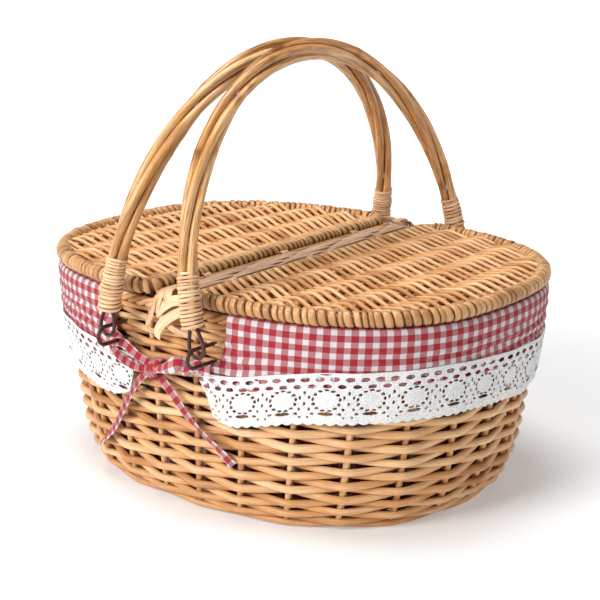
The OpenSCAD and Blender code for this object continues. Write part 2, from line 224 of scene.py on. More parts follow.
class Strands:
    """Rods, skeins and bands gathered into one mesh. Each point knows its strand's tone, and its place
    along and across the strand, which the materials read as "tone" and "grain"."""

    def __init__(self, seed, side=1):
        """side is -1 for the pieces that are turned half round the upright axis."""
        self.random = np.random.default_rng(seed)
        self.turn = np.array([side, side, 1.0])
        self.points, self.faces, self.tones, self.grains = [], [], [], []
        self.used = 0

    def grid(self, points, tone, grain, closed_rows=False, closed_columns=False, capped=False):
        """Add a grid of points with faces between them; closed joins its last row or column to the first."""
        rows, columns = points.shape[:2]
        index = self.used + np.arange(rows * columns).reshape(rows, columns)
        first, last = index[0].tolist(), index[-1].tolist()
        if closed_rows:
            index = np.vstack([index, index[:1]])
        if closed_columns:
            index = np.hstack([index, index[:, :1]])
        self.faces.extend(cell_corners(index).reshape(-1, 4).tolist())
        if capped:
            self.faces.append(first)
            self.faces.append(last[::-1])
        self.points.append((points * self.turn).reshape(-1, 3))
        self.tones.append(np.broadcast_to(tone, (rows, columns)).ravel())
        self.grains.append(grain.reshape(-1, 3))
        self.used += rows * columns

    def rod(self, path, width, thickness=None, out=(0, 0, 1), tone=0.5, sides=8, loop=False, blunt=0.55):
        """A rod of oval section along a path; out is the direction of its thickness, and blunt is the
        share of its size that is left at its two ends."""
        path = np.asarray(path, float)
        if loop:
            along = unit(np.roll(path, -1, 0) - np.roll(path, 1, 0))
        else:
            along = unit(np.gradient(path, axis=0))
        side = unit(np.cross(along, out))
        up = np.cross(side, along)
        width = np.broadcast_to(width, len(path)).copy()
        thickness = width.copy() if thickness is None else np.broadcast_to(thickness, len(path)).copy()
        if not loop:
            width[[0, -1]] *= blunt
            thickness[[0, -1]] *= blunt
        angle = np.linspace(0, 2 * np.pi, sides, endpoint=False)
        across = width[:, None] / 2 * np.cos(angle)
        through = thickness[:, None] / 2 * np.sin(angle)
        ring = path[:, None] + across[..., None] * side[:, None] + through[..., None] * up[:, None]
        start = self.random.uniform(0, 5)
        distance = np.broadcast_to(start + lengths_along(path)[:, None], across.shape)
        tone = np.broadcast_to(tone, len(path))[:, None]
        self.grid(ring, tone, xyz(distance, across, through), loop, True, not loop)

    def winding(self, path, radius, width, groove, cover, unevenness=0.2, tone=0.5, out=(0, 0, 1), sides=16):
        """A flat skein wound round a path. groove is how deep its edges dip, as a share of the radius, and
        cover is the share of each turn's room that it fills."""
        path = np.asarray(path, float)
        so_far = lengths_along(path)
        along = unit(np.gradient(path, axis=0))
        side = unit(np.cross(along, out))
        up = np.cross(side, along)
        turns = max(2, int(so_far[-1] / width))
        steps = 1 + unevenness * self.random.uniform(-1.5, 1.5, turns)
        edges = np.concatenate([[0], np.cumsum(steps)]) * so_far[-1] / steps.sum()
        swell = 1 + unevenness * 0.35 * self.random.uniform(-1, 1, turns + 1)
        shade = tone + 0.22 * self.random.uniform(-1, 1, turns + 1)
        turn = np.arange(turns * sides + 1) / sides
        start = np.interp(turn, np.arange(turns + 1), edges)
        size = np.diff(edges)[np.minimum(turn.astype(int), turns - 1)]
        across = cover * np.array([-0.5, -0.43, -0.22, 0.22, 0.43, 0.5])
        height = 1 - groove * np.array([1, 0.22, 0, 0, 0.22, 1])
        # Each turn is painted darker towards its edges: painted shade in the seams between turns.
        painted_seam_shade = np.array([-0.5, -0.15, 0, 0, -0.15, -0.5])
        distance = np.clip(start[:, None] + size[:, None] * across, 0, so_far[-1])
        middle, aside, above = [at_distance(distance, so_far, vectors) for vectors in (path, side, up)]
        reach = np.interp(distance / so_far[-1], [0, 1], np.broadcast_to(radius, 2))
        reach = reach * height * np.interp(turn, np.arange(turns + 1), swell)[:, None]
        angle = (2 * np.pi * turn)[:, None]
        points = (middle + (reach * np.cos(angle))[..., None] * above
                  + (reach * np.sin(angle))[..., None] * aside)
        lie = xyz(np.broadcast_to(angle * np.mean(radius), reach.shape), across * size[:, None], 0)
        self.grid(points, np.interp(turn, np.arange(turns + 1), shade)[:, None] + painted_seam_shade, lie)

    def build(self, name, body, look, node):
        """One object of all the strands, riding on its body in place of the CAD node named."""
        return make_piece(name, np.vstack(self.points), self.faces, np.vstack(self.grains), body, look, node,
                          np.concatenate(self.tones))


def make_mesh(name, points, faces, material):
    mesh = bpy.data.meshes.new(name)
    mesh.from_pydata(points, [], faces)
    mesh.polygons.foreach_set("use_smooth", [True] * len(mesh.polygons))
    mesh.materials.append(material)
    return mesh


def make_piece(name, points, faces, grain, body, look, node, tone=None):
    """An object that rides on a body, in place of the CAD node named."""
    slot, material = LOOKS[look]
    mesh = make_mesh(name, points.tolist(), faces, material)
    mesh.attributes.new("grain", "FLOAT_VECTOR", "POINT").data.foreach_set("vector", grain.ravel())
    if tone is not None:
        mesh.attributes.new("tone", "FLOAT", "POINT").data.foreach_set("value", tone.astype(float))
    piece = add_object(name, mesh)
    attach(piece, body)
    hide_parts(node)
    return piece


# ---- materials

class Look:
    """A procedural material while its nodes are being joined up."""

    def __init__(self, name, **constants):
        self.material = bpy.data.materials.new(name)
        self.material.use_nodes = True
        self.tree = self.material.node_tree
        self.shader = self.tree.nodes["Principled BSDF"]
        for key, value in constants.items():
            self.shader.inputs[key.replace("_", " ")].default_value = value

    def node(self, kind, inputs, **settings):
        """Add a node; an input that is another node's output is linked, and any other is a constant."""
        made = self.tree.nodes.new("ShaderNode" + kind)
        for key, value in settings.items():
            setattr(made, key, value)
        for key, value in inputs.items():
            self.feed(made.inputs[key], value)
        return made.outputs

    def feed(self, socket, value):
        if isinstance(value, bpy.types.NodeSocket):
            self.tree.links.new(value, socket)
        else:
            socket.default_value = value

    def join(self, value, socket):
        self.tree.links.new(value, self.shader.inputs[socket])

    def attribute(self, name, output):
        return self.node("Attribute", {}, attribute_name=name)[output]

    def math(self, operation, first, second=0.0, third=0.0):
        return self.node("Math", {0: first, 1: second, 2: third}, operation=operation)[0]

    def noise(self, place, stretch, detail=3.0, rough=0.55):
        scaled = self.node("VectorMath", {0: place, 1: stretch}, operation="MULTIPLY")[0]
        return self.node("TexNoise", {"Vector": scaled, "Scale": 1.0, "Detail": detail,
                                      "Roughness": rough})["Fac"]

    def ramp(self, value, stops):
        """stops are (place, colour) pairs."""
        made = self.tree.nodes.new("ShaderNodeValToRGB")
        self.tree.links.new(value, made.inputs[0])
        while len(made.color_ramp.elements) < len(stops):
            made.color_ramp.elements.new(0.5)
        for element, (place, colour) in zip(made.color_ramp.elements, stops):
            element.position = place
            element.color = (*colour, 1)
        return made.outputs[0]

    def mix(self, amount, first, second, blend="MIX"):
        """Two colours mixed; a colour is a node's output or three numbers."""
        made = self.tree.nodes.new("ShaderNodeMix")
        made.data_type = "RGBA"
        made.blend_type = blend
        self.feed(made.inputs[0], amount)
        for socket, colour in ((6, first), (7, second)):
            self.feed(made.inputs[socket], (*colour, 1) if isinstance(colour, tuple) else colour)
        return made.outputs[2]

    def bump(self, height, strength, depth):
        made = self.node("Bump", {"Height": height, "Strength": strength, "Distance": depth})
        self.join(made[0], "Normal")


def wood_look(name, dark, middle, pale, roughness, streak=0.35, coat=0.0):
    """Peeled willow: each strand has its own tone, with fibres, blotches and specks along it."""
    look = Look(name, Coat_Weight=coat, Coat_Roughness=0.3, Specular_IOR_Level=0.4)
    grain = look.attribute("grain", "Vector")
    fibre = look.noise(grain, (45, 1300, 1300), 4.0)
    blotch = look.noise(grain, (28, 90, 90), 3.0)
    speck = look.noise(grain, (160, 500, 500), 2.0, 0.7)
    tone = look.math("MULTIPLY_ADD", look.attribute("tone", "Fac"), 0.75, 0.12)
    tone = look.math("MULTIPLY_ADD", look.math("SUBTRACT", blotch, 0.5), 0.75, tone)
    colour = look.ramp(tone, ((0.1, dark), (0.5, middle), (0.9, pale)))
    streaks = look.ramp(fibre, ((0.3, (1 - streak,) * 3), (0.65, (1.06, 1.05, 1.03))))
    colour = look.mix(1.0, colour, streaks, "MULTIPLY")
    marks = look.math("MULTIPLY", look.math("GREATER_THAN", speck, 0.7), 0.45)
    colour = look.mix(marks, colour, (0.22, 0.1, 0.04))
    look.join(colour, "Base Color")
    look.join(look.math("MULTIPLY_ADD", fibre, 0.3, roughness - 0.15), "Roughness")
    look.bump(fibre, 0.35, 0.0005)
    return look.material


def gingham_look(name, shade=1.0):
    """Checked cotton: red and white yarns cross, so the mixed squares come out pink. A shade below 1 darkens
    every colour, as painted shade for cloth that lies in shadow.
    """
    def with_painted_shade(*colour):
        return tuple(shade * part for part in colour)

    look = Look(name, Roughness=0.85, Sheen_Weight=0.1, Sheen_Roughness=0.5)
    place = look.node("SeparateXYZ", {0: look.attribute("grain", "Vector")})
    stripes = []
    yarns = []
    for axis in (0, 1):
        wave = look.math("FRACT", look.math("MULTIPLY", place[axis], 1 / CHECK))
        edge = look.math("ABSOLUTE", look.math("SUBTRACT", wave, 0.5))
        stripes.append(look.node("MapRange", {0: edge, 1: 0.22, 2: 0.25})[0])
        yarns.append(look.math("SINE", look.math("MULTIPLY", place[axis], 2 * math.pi / YARN)))
    over = look.math("MULTIPLY", yarns[0], yarns[1])
    share = look.node("MapRange", {0: over, 1: -0.6, 2: 0.6, 3: 0.3, 4: 0.7})[0]
    red = look.node("Mix", {0: share, 2: stripes[0], 3: stripes[1]})[0]
    fade = look.noise(look.attribute("grain", "Vector"), (60, 60, 60), 3.0)
    white = look.mix(fade, with_painted_shade(0.68, 0.63, 0.65), with_painted_shade(0.56, 0.51, 0.53))
    dye = look.mix(fade, with_painted_shade(0.36, 0.004, 0.014), with_painted_shade(0.27, 0.003, 0.01))
    look.join(look.mix(look.math("POWER", red, 0.42), white, dye), "Base Color")
    look.bump(over, 0.35, 0.0004)
    return look.material


def lace_look():
    """White crocheted cotton: raised threads, darker and a little warmer in the hollows between them, as
    painted shade.
    """
    look = Look("lace", Roughness=0.8, Sheen_Weight=0.3, Subsurface_Weight=0.12, Subsurface_Scale=0.002)
    grain = look.attribute("grain", "Vector")
    scaled = look.node("VectorMath", {0: grain, 1: (1400, 1400, 1400)}, operation="MULTIPLY")[0]
    loops = look.node("TexVoronoi", {"Vector": scaled, "Scale": 1.0}, feature="SMOOTH_F1")["Distance"]
    twist = look.noise(grain, (2500, 900, 900), 2.0)
    # The ramp darkens the hollows between threads to about two thirds: painted shade.
    colour = look.ramp(loops, ((0.15, (0.88, 0.87, 0.86)), (0.8, (0.58, 0.56, 0.55))))
    look.join(colour, "Base Color")
    look.bump(look.math("SUBTRACT", twist, loops), 0.6, 0.0006)
    return look.material


def wire_look():
    """Dark brown plastic-coated wire, slightly scuffed."""
    look = Look("brown_wire", Specular_IOR_Level=0.3, Coat_Weight=0.08, Coat_Roughness=0.3)
    place = look.node("TexCoord", {})["Object"]
    patch = look.noise(place, (260, 260, 260), 4.0)
    fine = look.noise(place, (1500, 1500, 1500), 2.0)
    look.join(look.ramp(patch, ((0.3, (0.03, 0.01, 0.009)), (0.7, (0.095, 0.034, 0.03)))), "Base Color")
    look.join(look.math("MULTIPLY_ADD", patch, 0.3, 0.22), "Roughness")
    look.bump(fine, 0.15, 0.0003)
    return look.material


def floor_look():
    """Pale matt floor that glows more away from the basket, as painted light that stands in for a lit studio
    sweep; the top of the backdrop is dark, so that it sheds little light on the basket's sides."""
    look = Look("floor", Roughness=0.6, Emission_Color=(1, 1, 1, 1))
    place = look.node("TexCoord", {})["Object"]
    height = look.node("SeparateXYZ", {0: place})[2]
    low = look.node("MapRange", {0: height, 1: 0.5, 2: 1.1, 3: 1.0, 4: 0.0})[0]
    haze = look.noise(place, (0.8, 0.8, 0.8), 2.0)
    pale = look.ramp(haze, ((0.2, (0.66, 0.66, 0.66)), (0.8, (0.69, 0.69, 0.69))))
    look.join(look.mix(low, (0.12, 0.12, 0.12), pale), "Base Color")
    away = look.node("VectorMath", {0: place}, operation="LENGTH")["Value"]
    # The floor's glow is painted light: it grows from 0.28 near the basket to 0.86 far away.
    painted_glow = look.node("MapRange", {0: away, 1: 0.3, 2: 1.6, 3: 0.28, 4: 0.86})[0]
    look.join(look.math("MULTIPLY", painted_glow, low), "Emission Strength")
    return look.material


def make_looks():
    """For each look, its material slot and its material; a wood has a dark, a middle and a pale tone."""
    return {
        "willow": ("willow", wood_look("willow", (0.36, 0.12, 0.03), (0.7, 0.355, 0.14),
                                       (0.91, 0.61, 0.34), 0.45)),
        "lid": ("willow", wood_look("lid_willow", (0.33, 0.11, 0.03), (0.67, 0.335, 0.135),
                                    (0.86, 0.54, 0.28), 0.46)),
        "rim": ("willow_rim", wood_look("willow_rim", (0.22, 0.075, 0.02), (0.58, 0.3, 0.11),
                                        (0.78, 0.51, 0.26), 0.38, coat=0.25)),
        "handle": ("handle_rod", wood_look("handle_rod", (0.27, 0.085, 0.02), (0.75, 0.375, 0.13),
                                           (0.95, 0.66, 0.35), 0.34, streak=0.72, coat=0.3)),
        "skein": ("flat_skein", wood_look("flat_skein", (0.34, 0.14, 0.05), (0.84, 0.53, 0.3),
                                          (0.97, 0.77, 0.53), 0.42)),
        # The bar's skeins have their own pinker copy of the skein look, made paler as painted light because
        # the band lies in the lids' shadow.
        "band": ("flat_skein", wood_look("bar_skein_painted_light", (0.46, 0.26, 0.16), (0.76, 0.5, 0.34),
                                         (0.9, 0.66, 0.5), 0.5)),
        "gingham": ("gingham", gingham_look("gingham")),
        "ribbon": ("gingham_ribbon", gingham_look("gingham_ribbon")),
        # The liner is the gingham at 0.55 of its colour: painted shade for the cloth inside the basket.
        "liner": ("gingham", gingham_look("gingham_liner_painted_shade", shade=0.55)),
        "lace": ("lace", lace_look()),
        "wire": ("brown_wire", wire_look()),
    }


# ---- wall

def rise(z):
    """Share of the wall's flare that is reached at height z."""
    return (np.maximum(z, 0) / RIM_TOP) ** FLARE


FOOT_A, FOOT_B = [(FOOT_HIGH[k] - rise(FOOT_HIGH.z) * rim) / (1 - rise(FOOT_HIGH.z))
                  for k, rim in ((0, RIM_A), (1, RIM_B))]


def wall_at_angle(out, z, angle):
    """Point of the squared oval that the wall is at height z, a distance outside it."""
    squareness = FOOT_SQUARENESS + (RIM_SQUARENESS - FOOT_SQUARENESS) * z / RIM_TOP
    x = (FOOT_A + (RIM_A - FOOT_A) * rise(z) + out) * signed_power(np.cos(angle), 2 / squareness)
    y = (FOOT_B + (RIM_B - FOOT_B) * rise(z) + out) * signed_power(np.sin(angle), 2 / squareness)
    return xyz(x, y, z)


ANGLES = np.linspace(0, 2 * np.pi, 1441)
ROUND = lengths_along(wall_at_angle(0.0, RIM_TOP / 2, ANGLES))


def wall_point(out, z, share):
    """Point a given distance outside the wall, at height z and at that share of the way round."""
    out, z, share = np.broadcast_arrays(out, z, share)
    return wall_at_angle(out, z, np.interp(share % 1, ROUND / ROUND[-1], ANGLES))


def wall_out(z, share):
    """Direction away from the wall."""
    return unit(wall_point(0.001, z, share) - wall_point(0.0, z, share))


def share_at(x):
    """Share of the way round at which the rear half of the wall has reached x."""
    shares = np.linspace(0, 0.5, 1001)
    return np.interp(-x, -wall_point(0.0, RIM_TOP / 2, shares)[:, 0], shares)


def make_stakes():
    """The uprights, each leaning a little."""
    strands = Strands(21)
    z = np.linspace(0.006, RIM_LOW + 0.002, 22)
    for i in range(STAKES):
        lean = strands.random.normal(0, 0.00035)
        share = i / STAKES + lean + 0.0006 * np.sin(z / RIM_TOP * 5 + i)
        path = wall_point(-WEAVE_DEPTH, z, share)
        size = STAKE_D * strands.random.uniform(0.94, 1.06) * np.linspace(1.06, 0.9, len(z))
        strands.rod(path, size, out=wall_out(z, share), tone=strands.random.uniform(0.25, 0.75))
    strands.build("side_stake_rods", "basket", "willow", "side_stakes")


def weaver_size(z):
    """How thick the weavers are at height z."""
    return np.interp(z, [0.003, 0.03, 0.1, 0.16], [0.0044, 0.006, 0.0056, 0.0045])


def make_weavers():
    """Rows of weavers, each outside one stake and inside the next; a row is three rods end to end.
    A rod is bent down where it passes outside a stake, most of all near the foot."""
    strands = Strands(22)
    random = strands.random
    per_stake = 12
    z = 0.0032
    row = 0
    while z < RIM_LOW - 0.001:
        size = weaver_size(z)
        drift = random.normal(0, 0.0004, STAKES)
        reach = WEAVE_SWING * np.interp(z, [0.003, 0.018, 0.1, RIM_LOW], [0.35, 1, 1, 0.72])
        dip = np.interp(z, [0.004, 0.02, 0.06, RIM_LOW], [0.0003, 0.001, 0.0006, 0.0002])
        start = 2 * int(random.integers(0, STAKES // 2)) + (row + 1) % 2
        for span in random.permutation([8, 8, 10]):
            s = np.linspace(-0.35, span + 0.35, per_stake * int(span) + 9)
            stake = start + s
            bend = zigzag(np.pi * (stake + row))
            tuck = 0.003 * (np.clip(-s, 0, 1) + np.clip(s - span, 0, 1))
            height = z + np.interp(stake % STAKES, np.arange(STAKES + 1), np.append(drift, drift[0]))
            height = height - dip * bend
            share = stake / STAKES
            thick = size * np.linspace(1.1, 0.92, len(s)) * random.uniform(0.94, 1.06)
            if random.random() < 0.5:
                thick = thick[::-1]
            # 0.08 * bend makes a rod paler where it crosses outside a stake and darker where it passes behind
            # one: painted highlight and painted shade.
            tone = random.uniform(0.28, 0.85) + 0.08 * np.sin(stake * 0.7 + row) + 0.08 * bend
            strands.rod(wall_point(reach * bend - WEAVE_DEPTH - tuck, height, share),
                        thick * (1.04 + 0.08 * bend), thick * 0.92, out=wall_out(height, share), tone=tone)
            start += int(span)
        z += size
        row += 1
    strands.build("side_weavers", "basket", "willow", "side_weave")


def make_rope_ring(name, node, z, out, twists, seed):
    """A border of rods twisted round each other, all the way round the basket."""
    strands = Strands(seed)
    for j in range(ROPE_RODS):
        share = np.linspace(0, 1, 26 * 16, endpoint=False)
        wave = 2 * np.pi * (share * twists + j / ROPE_RODS)
        height = z + ROPE_ROD_D * 0.52 * np.sin(wave)
        path = wall_point(out + ROPE_ROD_D * 0.55 * np.cos(wave), height, share)
        strands.rod(path, ROPE_ROD_D, out=wall_out(height, share), loop=True,
                    tone=0.35 + 0.18 * j + 0.2 * np.sin(share * 44 + j))
    strands.build(name, "basket", "willow", node)


# ---- flat woven panels

def weave_panel(strands, rows, rib_phase, z, swing, width, thickness):
    """Weavers over one rib and under the next; each row is a path of [x, y] points."""
    random = strands.random
    for j, row in enumerate(rows):
        if len(row) < 5:
            continue
        x, y = row[:, 0], row[:, 1]
        slip = random.normal(0, 0.00045)
        bend = zigzag(np.pi * (rib_phase(x, y) + j))
        path = xyz(x, y + slip + 0.0003 * np.sin(x * 90 + j * 2.1), z + swing * bend)
        wide = width * random.uniform(0.84, 1.1) * np.linspace(1.04, 0.94, len(x))
        # 0.2 * bend makes a weaver paler where it rides over a rib and darker where it dips under one:
        # painted highlight and painted shade.
        tone = random.choice([0.25, 0.5, 0.6, 0.7, 0.8]) + 0.2 * bend
        strands.rod(path, wide, thickness, tone=tone)


def make_base():
    """The woven base: nine sticks across it, with weavers over and under them."""
    low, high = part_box("base_weave")
    z = (low.z + high.z) / 2
    pitch = 0.034
    weavers = Strands(31)
    sticks = Strands(32)
    rows = []
    for y in np.arange(low.y + 0.003, high.y, 0.0052):
        reach = high.x * oval_reach(y / high.y, FOOT_SQUARENESS)
        x = np.linspace(-reach, reach, 100)
        rows.append(np.stack([x, np.full_like(x, y)], -1))
    weave_panel(weavers, rows, lambda x, y: x / pitch, z, swing=0.0017, width=0.0046, thickness=0.003)
    for i in range(-4, 5):
        half = high.y * oval_reach(i * pitch / high.x, FOOT_SQUARENESS) - 0.002
        path = [(i * pitch, y, z) for y in np.linspace(-half, half, 20)]
        sticks.rod(path, 0.0044, 0.0036, tone=0.4)
    weavers.build("base_weavers", "basket", "willow", "base_weave")
    sticks.build("base_stick_rods", "basket", "willow", "base_sticks")


def lid_reach(y):
    """How far along X the middle of the lid's rim lies, at y."""
    return LID_A * oval_reach(y / LID_B, LID_SQUARENESS)


def lid_oval():
    """Middle of the lid's rim from the front corner round to the rear corner, and the straight edge."""
    corner_x = LID_EDGE + LID_CORNER
    corner_angle = math.acos((corner_x / LID_A) ** (LID_SQUARENESS / 2))
    angle = np.linspace(-corner_angle, corner_angle, 240)
    x = LID_A * signed_power(np.cos(angle), 2 / LID_SQUARENESS)
    y = LID_B * signed_power(np.sin(angle), 2 / LID_SQUARENESS)
    oval = xyz(x, y, LID_Z)
    middle_y = oval[-1, 1] - LID_CORNER
    turn = np.linspace(0, math.pi / 2, 10)
    rear = xyz(corner_x - LID_CORNER * np.sin(turn), middle_y + LID_CORNER * np.cos(turn), LID_Z)
    front = rear[::-1] * [1, -1, 1]
    return oval, np.vstack([rear, front])


def rib_bow(y):
    """The lid's ribs bow outwards: the share of a rib's place along X that is left at y."""
    return 1 - LID_RIB_BOW * (y / LID_B) ** 2


def make_lid(side):
    """A lid: ribs along Y, weavers across them, a frame rod round it all and the skein wound round that."""
    name = BODIES[side] + "_lid"
    oval, edge = lid_oval()
    seed = 50 if side > 0 else 60
    ribs = Strands(seed, side)
    for offset in LID_RIB_PITCH * np.arange(1, LID_RIBS + 1):
        half = LID_B * oval_reach((LID_EDGE + offset) / LID_A, LID_SQUARENESS) - 0.001
        y = np.linspace(-half, half, 40)
        wave = 0.0008 * np.sin(y * 60 + offset * 900)
        path = xyz(LID_EDGE + offset * rib_bow(y), y, LID_Z + wave)
        ribs.rod(path, 0.0048, 0.0042, tone=ribs.random.uniform(0.5, 0.8))
    ribs.build(name + "_rib_rods", name, "lid", name + "_ribs")

    weave = Strands(seed + 1, side)
    rows = []
    x = np.arange(LID_EDGE, LID_A, 0.0026)
    for start in np.arange(-LID_B + 0.003, LID_B + 0.006, 0.0042):
        fan = np.clip(1.6 * start - 0.2, -0.42, -0.03)
        y = start + fan * (x - LID_EDGE)
        rows.append(np.stack([x, y], -1)[(x <= lid_reach(y)) & (np.abs(y) < LID_B)])
    weave_panel(weave, rows, lambda x, y: (x - LID_EDGE) / (LID_RIB_PITCH * rib_bow(y)), LID_Z,
                swing=0.0038, width=0.004, thickness=0.0032)
    weave.build(name + "_weavers", name, "lid", name + "_weave")

    core = Strands(seed + 2, side)
    # The frame rod has the darkest tone, so the gaps between the skein's turns show painted shade.
    core.rod(np.vstack([oval, edge[1:-1]]), 0.0078, loop=True, tone=-0.2, sides=10)
    core.build(name + "_frame_rod", name, "lid", name + "_frame")

    wrap = Strands(seed + 3, side)
    wrap.winding(oval, LID_R - 0.0002, 0.006, groove=0.28, cover=0.9)
    if side > 0:
        wrap.winding(edge, LID_R - 0.002, 0.0043, groove=0.22, cover=0.95, unevenness=0.1)
    else:
        # The left lid's straight edge gets a paler tone than the rest of the rim: painted light on an edge
        # that the lamps leave in shade.
        wrap.winding(edge, LID_R - 0.0003, 0.0062, groove=0.34, cover=0.62, unevenness=0.22, tone=0.75)
    wrap.build(name + "_rim_skein", name, "rim", name + "_rim_wrap")

    loops = Strands(seed + 4, side)
    for i in (-1, 0, 1):
        path = np.array([(HINGE_X, LOOP_PITCH * i + d, HINGE_Z) for d in np.linspace(-0.005, 0.005, 6)])
        loops.winding(path, 0.0041, 0.0033, groove=0.1, cover=1.0, unevenness=0.08)
    loops.build(name + "_hinge_skein", name, "skein", name + "_hinge_loops")


# ---- cross bar

def make_bar():
    """The cross bar: two rods side by side, the lids' hinge rods beside them and flat skeins round them."""
    rods = Strands(41)
    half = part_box("cross_bar_rods")[1].y
    for x in (-0.0044, 0.0044):
        rods.rod([(x, y, BAR_Z) for y in np.linspace(-half, half, 30)], 0.0068, tone=0.5, sides=12)
    rods.build("cross_bar_rod_pair", "basket", "lid", "cross_bar_rods")
    for side in (-1, 1):
        hinge = Strands(42 + side)
        path = [(side * HINGE_X, y, HINGE_Z) for y in np.linspace(-half, half, 40)]
        hinge.rod(path, HINGE_ROD_D, tone=0.6, sides=12)
        node = BODIES[side] + "_hinge_rod"
        hinge.build(node + "_willow", "basket", "rim", node)

    band = Strands(44)
    y = np.linspace(-half + 0.001, half - 0.001, 150)
    for k, x in enumerate((-0.0066, -0.0022, 0.0026, 0.0068)):
        dip = 0.0013 * np.clip(np.sin(2 * np.pi * y / 0.062 + 1.6 * k), 0, 1) ** 3
        fall = 0.003 * np.clip((np.abs(y) - half + 0.01) / 0.01, 0, 1) ** 2
        z = BAR_HIGH.z - 0.0009 - dip - fall - 0.1 * abs(x)
        sway = x + 0.0006 * np.sin(y * 45 + 2 * k)
        band.rod(xyz(sway, y, z), 0.0062, 0.0013, tone=band.random.uniform(0.3, 0.8), sides=10)
    for x in (-0.0079, 0.0079):
        path = xyz(x, y, BAR_Z + 0.0003)
        band.rod(path, 0.006, 0.0013, out=(1, 0, 0), tone=0.4, sides=10)
    for x in (-0.004, 0.004):
        path = xyz(x, y, BAR_LOW.z + 0.0008)
        band.rod(path, 0.0075, 0.0012, tone=0.4, sides=10)
    band.build("cross_bar_skeins", "basket", "band", "cross_bar_band")


def make_lashing(end):
    """Flat skeins that cross over the bar's end and the rim. end is 1 at the front, -1 at the rear."""
    lower = ((0.0335, -0.1568, 0.1655), (0.024, -0.1592, 0.165), (0.0165, -0.16, 0.162),
             (0.0089, -0.1604, 0.1578), (0.0015, -0.1602, 0.1523), (-0.0044, -0.1594, 0.1466),
             (-0.008, -0.1582, 0.1413), (-0.0094, -0.1566, 0.1365))
    upper = ((0.033, -0.157, 0.169), (0.024, -0.1596, 0.1726), (0.017, -0.1604, 0.1722),
             (0.0095, -0.1606, 0.1697), (0.0023, -0.16, 0.1652), (-0.004, -0.1592, 0.1606),
             (-0.0092, -0.1578, 0.1562))
    under = ((0, -0.148, 0.1768), (-0.0025, -0.156, 0.1745), (-0.005, -0.1586, 0.168),
             (-0.0062, -0.159, 0.1615), (-0.0032, -0.159, 0.1567), (0.0025, -0.1584, 0.1509),
             (0.0073, -0.1578, 0.1477), (0.0147, -0.1572, 0.1456), (0.0219, -0.1566, 0.1444),
             (0.03, -0.1556, 0.1438))
    leaf = ((-0.005, -0.156, 0.1735), (-0.009, -0.1584, 0.168), (-0.0112, -0.1588, 0.161),
            (-0.0136, -0.1586, 0.155), (-0.0172, -0.158, 0.15), (-0.02, -0.1574, 0.1462),
            (-0.0188, -0.1574, 0.1432), (-0.014, -0.1576, 0.1424), (-0.0085, -0.1576, 0.143))
    over_bar = ((0.0055, -0.159, 0.165), (0.005, -0.1592, 0.1715), (0.0035, -0.156, 0.1768),
                (0.0025, -0.149, 0.1776), (0.002, -0.141, 0.1774))
    skeins = ((leaf, (0.0055, 0.0066, 0.0072, 0.0062, 0.003, 0.0028)),
              (under, (0.0072, 0.007, 0.0056, 0.0036)),
              (over_bar, (0.008, 0.008)),
              (upper, (0.008, 0.0088, 0.0084)),
              (lower, (0.0074, 0.0082, 0.008)))
    wrapped_middle = np.array([0, -0.128, 0.153])
    strands = Strands(45 + end, end)
    for k, (points, widths) in enumerate(skeins):
        path = curve_through(points, 10 * len(points))
        strands.rod(path, spread(widths, len(path)), 0.0011, out=unit(path - wrapped_middle),
                    tone=0.3 + 0.1 * k, sides=10)
    name = ENDS[end] + "_lashing"
    strands.build(name + "_skeins", "basket", "skein", name)


# ---- handles

def at_handle(local):
    """Points drawn as [w, y, u] in the handle's own frame, placed as the right-hand handle at rest."""
    w, y, u = local[..., 0], local[..., 1], local[..., 2]
    return xyz(PIVOT.x + w * math.cos(LEAN) - u * math.sin(LEAN), y,
               PIVOT.z + w * math.sin(LEAN) + u * math.cos(LEAN))


def handle_direction(local):
    """A direction given as [w, y, u], turned into the basket's frame."""
    return at_handle(np.asarray(local, float)) - at_handle(np.zeros(3))


def arch_point(f):
    """Middle of the handle's rods, in its own frame, at the angle f round its arch."""
    u = ARCH_LOW_U + (CROWN_U - ARCH_LOW_U) * np.sin(f)
    return xyz(0, -LEG_Y * np.cos(f), u)


def arch_out(f):
    """Outward direction in the handle's plane, already placed in the basket's frame."""
    rise_u = CROWN_U - ARCH_LOW_U
    return handle_direction(unit(xyz(0, -rise_u * np.cos(f), LEG_Y * np.sin(f))))


def arch_angle(u):
    """The angle round the arch at which it passes height u."""
    return math.asin((u - ARCH_LOW_U) / (CROWN_U - ARCH_LOW_U))


def handle_rod_path(number, share):
    """Path of one of the four rods that twist round the arch, and its size along it."""
    first = arch_angle(ROD_START_U)
    f = first + (math.pi - 2 * first) * share
    turn = math.radians(45 + 90 * number) + 2 * math.pi * ROD_TURNS * share
    size = 1 - LEG_TAPER * np.abs(np.cos(f)) ** 4
    square = handle_direction([1, 0, 0])
    outward = np.cos(turn)[:, None] * arch_out(f) + np.sin(turn)[:, None] * square
    return at_handle(arch_point(f)) + BUNDLE_R * size[:, None] * outward, size


